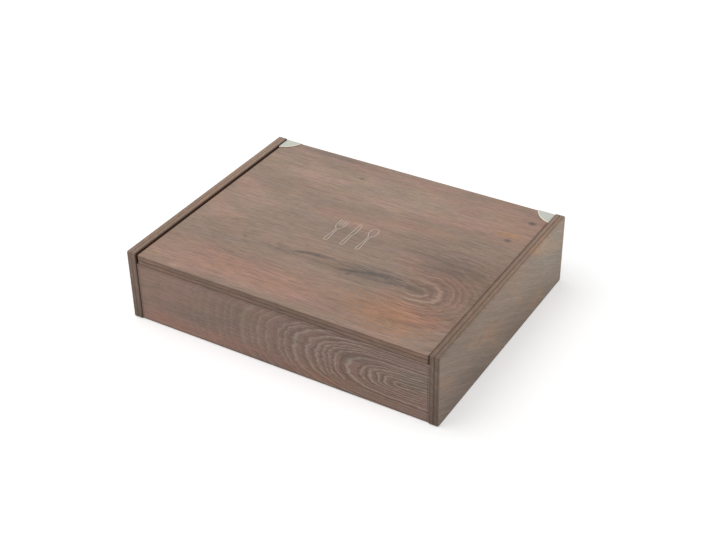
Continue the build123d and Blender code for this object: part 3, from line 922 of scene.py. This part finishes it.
def cushion(name, centre, axes, halves, thickness, values, rise, material, settle=None):
    # a closed pad on a flat back: its face rounds over at the edge and follows rise(x, y, inset)
    across, upward, outward = axes
    halfWidth, halfHeight = halves
    corner, edge = values.get("corner", 0), values["edge"]
    columns, rows = gridLines(halfWidth, values), gridLines(halfHeight, values)
    points, insets, index = [], [], {}
    for j, y in enumerate(rows):
        for i, x in enumerate(columns):
            inset = min(halfWidth - abs(x), halfHeight - abs(y))
            a, b = abs(x) - (halfWidth - corner), abs(y) - (halfHeight - corner)
            px, py = x, y
            if corner and a > 0 and b > 0:
                # the square corner becomes a quarter disc
                far, reach = math.hypot(a, b), max(a, b)
                px = math.copysign(halfWidth - corner + a / far * reach, x)
                py = math.copysign(halfHeight - corner + b / far * reach, y)
            over = max(0.0, 1 - inset / edge)
            height = thickness * math.sqrt(max(0.0, 1 - over * over)) * rise(px, py, inset)
            index[i, j] = len(points)
            insets.append(inset)
            points.append(centre + across * px + upward * py + outward * height)
    nx, ny = len(columns), len(rows)
    faces = [(index[i, j], index[i + 1, j], index[i + 1, j + 1], index[i, j + 1])
             for j in range(ny - 1) for i in range(nx - 1)]
    if settle:
        points = settle(points, faces, insets)
    rim = ([index[i, 0] for i in range(nx)] + [index[nx - 1, j] for j in range(1, ny)]
           + [index[i, ny - 1] for i in range(nx - 2, -1, -1)] + [index[0, j] for j in range(ny - 2, 0, -1)])
    faces.append(tuple(reversed(rim)))
    return makeMesh(name, points, faces, material)


def ripple(x, y, size, seed):
    # a smooth unevenness between -1 and 1
    return fields.noise(Vector((x / size, y / size, seed)))


def flatSide(low, high, level):
    # the middle of a lining's flat side, and its half sizes
    centre = Vector(((low.x + high.x) / 2, (low.y + high.y) / 2, level))
    return centre, ((high.x - low.x) / 2, (high.y - low.y) / 2)


feltSet = {"edge": 0.0006, "pitch": 0.004, "sink": 0.00022, "rippleSize": 0.03, "seed": 3.0}


def makeBaseFelt():
    low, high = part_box("base_lining")
    centre, halves = flatSide(low, high, low.z)
    thickness = high.z - low.z

    def rise(x, y, inset):
        sunk = feltSet["sink"] / thickness
        return 1 - sunk * (0.5 + 0.5 * ripple(x, y, feltSet["rippleSize"], feltSet["seed"]))

    piece = cushion("base_felt", centre, (alongX, alongY, alongZ), halves, thickness, feltSet, rise, felt)
    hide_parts("base_lining")
    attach(piece, "carcass")


linerSet = {
    "edge": 0.0022, "pitch": 0.005, "slack": 0.12, "rippleSize": 0.045,
    "least": 0.84,  # the height at the rim, and "swell" more from "swellReach" inwards
    "swell": 0.16, "swellReach": 0.012,
    "facings": {"front_liner": (0, 1, 0), "back_liner": (0, -1, 0), "left_liner": (1, 0, 0),
                "right_liner": (-1, 0, 0)},
}


def makeLiners():
    for order, (name, facing) in enumerate(linerSet["facings"].items()):
        low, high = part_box(name)
        outward = Vector(facing)
        middle = (low + high) / 2
        size = high - low
        thickness = abs(size.dot(outward))
        across = alongZ.cross(outward)
        halves = abs(size.dot(across)) / 2, size.z / 2

        def rise(x, y, inset):
            full = min(1.0, inset / linerSet["swellReach"])
            slack = 1 - linerSet["slack"] * (1 + ripple(x, y, linerSet["rippleSize"], order))
            return linerSet["least"] + linerSet["swell"] * full * slack

        piece = cushion(name.replace("_liner", "_velvet"), middle - outward * thickness / 2,
                        (across, alongZ, outward), halves, thickness, linerSet, rise, velvet)
        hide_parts(name)
        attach(piece, "carcass")


padSet = {
    "corner": 0.006, "edge": 0.0035, "pitch": 0.0035,
    "seamInset": 0.016, "seamBeside": 0.0013, "seamWidth": 0.0025, "seamDepth": 0.5,
    "border": 0.68, "borderRipple": (0.02, 5.0), "borderUneven": 0.03,  # shares of the pad's thickness
    "inner": 0.66, "crown": 0.14, "crownReach": 0.03, "crownRipple": (0.05, 8.0), "crownUneven": 0.15,
    "pressure": 0.5, "slack": 0.006, "steps": 20, "quality": 6, "most": 0.0012,  # how its cloth swells
}


def padRise(x, y, inset):
    inwards = inset - padSet["seamInset"]
    seam = math.exp(-(inwards / padSet["seamWidth"]) ** 2)
    if inwards > 0:
        uneven = padSet["crownUneven"] * ripple(x, y, *padSet["crownRipple"])
        crown = padSet["crown"] * min(1.0, inwards / padSet["crownReach"])
        body = padSet["inner"] + crown * (1 - padSet["crownUneven"] + uneven)
    else:
        body = padSet["border"] + padSet["borderUneven"] * ripple(x, y, *padSet["borderRipple"])
    return body * (1 - padSet["seamDepth"] * seam)


def settlePad(points, faces, insets):
    # the cover is held at its rim and along the seam, and swells between them
    cover = addObject("padCover", meshOf("padCover", points, faces))
    held = cover.vertex_groups.new(name="held")
    for index, inset in enumerate(insets):
        if inset < padSet["edge"] or abs(inset - padSet["seamInset"]) < padSet["seamBeside"] / 2:
            held.add([index], 1.0, "REPLACE")
    modifier = cover.modifiers.new("cloth", "CLOTH")
    cloth = modifier.settings
    cloth.vertex_group_mass = "held"
    cloth.quality = padSet["quality"]
    cloth.use_pressure = True
    cloth.uniform_pressure_force = padSet["pressure"]
    cloth.shrink_min = -padSet["slack"]
    cloth.effector_weights.gravity = 0
    modifier.point_cache.frame_end = padSet["steps"]
    for moment in range(1, padSet["steps"] + 1):
        scene.frame_set(moment)
    evaluated = cover.evaluated_get(bpy.context.evaluated_depsgraph_get())
    moves = [vertex.co - start for vertex, start in zip(evaluated.data.vertices, points)]
    most = max(move.length for move in moves)
    settled = []
    for start, move in zip(points, moves):
        # longer moves are capped softly
        limit = padSet["most"] / (padSet["most"] + move.length)
        settled.append(start + move * limit)
    scene.frame_set(1)
    bpy.data.objects.remove(cover)
    print(f"the pad's cover settled, {most / mm:.2f} mm at most before the cap")
    return settled


def makeLidPad():
    low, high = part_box("lid_lining_pad")
    centre, halves = flatSide(low, high, high.z)
    piece = cushion("lid_velvet_pad", centre, (alongX, -alongY, -alongZ), halves, high.z - low.z, padSet,
                    padRise, velvet, settlePad)
    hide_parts("lid_lining_pad")
    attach(piece, "lid")


makeBaseFelt()
makeLiners()
makeLidPad()
print("linings laid")


# Pieces that Geometry Nodes make: the pad's stitches, and the printed sign on the lid


def finishTree(give, shape, finish):
    real = result(shape.id_data, "GeometryNodeRealizeInstances", {"Geometry": shape})
    dressed = {"Geometry": real, "Material": finish}
    wire(give["Piece"], result(shape.id_data, "GeometryNodeSetMaterial", dressed))


def grow(name, paths, makeTree, values):
    # each path is (points, closed); the modifier's result becomes a plain mesh
    tree = makeTree(values)
    data = bpy.data.curves.new(name + "Paths", "CURVE")
    data.dimensions = "3D"
    for points, closed in paths:
        spline = data.splines.new("NURBS")
        spline.points.add(len(points) - 1)
        for point, at in zip(spline.points, points):
            point.co = (*at, 1.0)
        spline.order_u = 3
        spline.use_cyclic_u, spline.use_endpoint_u = closed, not closed
        spline.resolution_u = 6
    holder = addObject(name + "Paths", data)
    modifier = holder.modifiers.new(name, "NODES")
    modifier.node_group = tree
    for item in tree.interface.items_tree:
        if item.in_out == "INPUT" and item.name in values:
            modifier[item.identifier] = values[item.name]
    evaluated = holder.evaluated_get(bpy.context.evaluated_depsgraph_get())
    mesh = bpy.data.meshes.new_from_object(evaluated)
    holder.modifiers.remove(modifier)
    bpy.data.objects.remove(holder)
    # Set Material leaves an empty slot before its own
    finish = next(material for material in mesh.materials if material)
    mesh.materials.clear()
    mesh.materials.append(finish)
    mesh.polygons.foreach_set("material_index", [0] * len(mesh.polygons))
    mesh.name = name
    print(name, "has", len(mesh.polygons), "faces")
    return addObject(name, mesh)


def makeStitchTree(values):
    # a row of stitches along a path, each a short bowed thread whose ends dip into the cloth
    tree, take, give = startTree("Geometry", "stitchRow", {"Path": None, **values}, {"Piece": "Geometry"})
    rowPoints = {"Curve": take["Path"], "Length": take["Pitch"]}
    spaced = result(tree, "GeometryNodeResampleCurve", rowPoints, mode="LENGTH")
    half = times(take["Stitch Length"], 0.5)
    start, end = combine(times(half, -1.0), 0.0, 0.0), combine(half, 0.0, 0.0)
    thread = result(tree, "GeometryNodeCurvePrimitiveLine", {"Start": start, "End": end})
    thread = result(tree, "GeometryNodeResampleCurve", {"Curve": thread, "Count": 7})
    along = place(tree, "GeometryNodeSplineParameter").outputs["Factor"]
    fromMiddle = absolute(minus(times(along, 2.0), 1.0))
    dip = times(calc("POWER", fromMiddle, 3.0), take["Dip"])
    lowered = {"Geometry": thread, "Offset": combine(0.0, 0.0, dip)}
    bowed = result(tree, "GeometryNodeSetPosition", lowered)
    section = {"Resolution": 7, "Radius": take["Thread Radius"]}
    threadRound = result(tree, "GeometryNodeCurvePrimitiveCircle", section)
    stitch = result(tree, "GeometryNodeCurveToMesh", {
        "Curve": bowed, "Profile Curve": threadRound, "Fill Caps": True})
    tangent = {"Vector": result(tree, "GeometryNodeInputTangent")}
    turned = result(tree, "FunctionNodeAlignRotationToVector", tangent, axis="X", pivot_axis="Z")
    # the node's sockets 2 and 3 are its lowest and highest number, and output 1 its number
    shorter, longer = minus(1.0, take["Unevenness"]), plus(1.0, take["Unevenness"])
    uneven = place(tree, "FunctionNodeRandomValue", {2: shorter, 3: longer, "Seed": take["Seed"]},
                   data_type="FLOAT")
    row = result(tree, "GeometryNodeInstanceOnPoints", {
        "Points": spaced, "Instance": stitch, "Rotation": turned,
        "Scale": combine(uneven.outputs[1], 1.0, 1.0)})
    finishTree(give, row, take["Thread"])
    return tree


def makeRibbonTree(values):
    # a flat ribbon of print along each path
    tree, take, give = startTree("Geometry", "printedLine", {"Path": None, **values}, {"Piece": "Geometry"})
    level = result(tree, "GeometryNodeSetCurveNormal", {"Curve": take["Path"]}, mode="Z_UP")
    section = result(tree, "GeometryNodeCurvePrimitiveQuadrilateral", {
        "Width": take["Line Width"], "Height": take["Print Height"]})
    line = result(tree, "GeometryNodeCurveToMesh", {
        "Curve": level, "Profile Curve": section, "Fill Caps": True})
    finishTree(give, line, take["Print"])
    return tree


stitchSet = {
    "tree": {"Pitch": 0.0046, "Stitch Length": 0.0034, "Thread Radius": 0.00024, "Dip": 0.0006,
             "Unevenness": 0.06, "Seed": 3},
    "corner": 0.004,
    "thread": {"tones": (tone(118, 108, 100), tone(150, 140, 131)), "stretch": (3.0, 3.0, 9.0),
               "grain": (3, 0.6), "levels": (0.35, 0.65), "roughness": (0.8, 0.6), "bump": 0.0001},
}


def makePadStitches():
    low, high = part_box("lid_lining_pad")
    inset, corner = padSet["seamInset"], stitchSet["corner"]
    middle = (low + high) / 2
    halfX, halfY = (high.x - low.x) / 2 - inset, (high.y - low.y) / 2 - inset
    thickness = high.z - low.z
    level = high.z - thickness * padRise(0, 0, inset) - stitchSet["tree"]["Thread Radius"] * 0.5
    corners = [(-1, -1), (1, -1), (1, 1), (-1, 1)]
    path = []
    for number, (sx, sy) in enumerate(corners):
        x, y = middle.x + sx * halfX, middle.y + sy * halfY
        beside = [(x, y - sy * corner, level), (x, y, level), (x - sx * corner, y, level)]
        path += beside[::-1] if number % 2 else beside
    values = {**stitchSet["tree"], "Thread": mottledMaterial("thread", stitchSet["thread"])}
    piece = grow("pad_stitches", [(path, True)], makeStitchTree, values)
    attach(piece, "lid")


signSet = {
    "centre": (1.0, 0.8), "spacing": 21.0,  # in millimetres
    "tree": {"Line Width": 0.0009, "Print Height": 0.00006},  # in metres
    "print": {"tones": (tone(208, 196, 185), tone(184, 170, 158)), "stretch": (0.4, 2.0, 1.0),
              "grain": (4, 0.65), "levels": (0.4, 0.66), "roughness": (0.45, 0.6), "bump": 0.00002},
}


def mirrored(points):
    # from the top down the right-hand side, and back up the left
    return points + [(-x, y) for x, y in reversed(points) if x]


def makeLidSign():
    # fork, knife and spoon in outline, in millimetres from the middle of each
    handle = [(1.3, -8), (2.4, -18), (2.2, -21.8), (0, -23.3)]
    fork = mirrored([(5, 24), (5, 18), (5, 11), (4, 7), (1.5, 5), (1.0, 2)] + handle)
    tines = [[(x, 24), (x, 18), (x, 12)] for x in (-1.7, 1.7)]
    knife = [(-1.4, 0), (-1.4, 12), (-1.4, 23), (-0.6, 25), (2.4, 22), (3.4, 12), (3.0, 2), (1.5, 0.2),
             (1.7, -4), (2.2, -13), (2.5, -20.5), (1.6, -23.3), (-0.7, -23.3), (-1.6, -20.5), (-1.5, -12),
             (-1.4, -4)]
    spoon = mirrored([(0, 24.6), (3.8, 23.6), (5.4, 18), (4.4, 11), (1.5, 7.4), (1.0, 3)] + handle)
    x0, y0 = signSet["centre"]
    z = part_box("lid_top_ply")[1].z + signSet["tree"]["Print Height"] * 0.2
    paths = []
    for column, outlines in enumerate(([fork] + tines, [knife], [spoon])):
        x1 = x0 + (column - 1) * signSet["spacing"]
        paths += [([((x1 + x) * mm, (y0 + y) * mm, z) for x, y in points], column > 0) for points in outlines]
    values = {**signSet["tree"], "Print": mottledMaterial("pale_print", signSet["print"])}
    piece = grow("lid_sign", paths, makeRibbonTree, values)
    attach(piece, "lid")


makePadStitches()
makeLidSign()
print("stitches and sign made")

print("done")
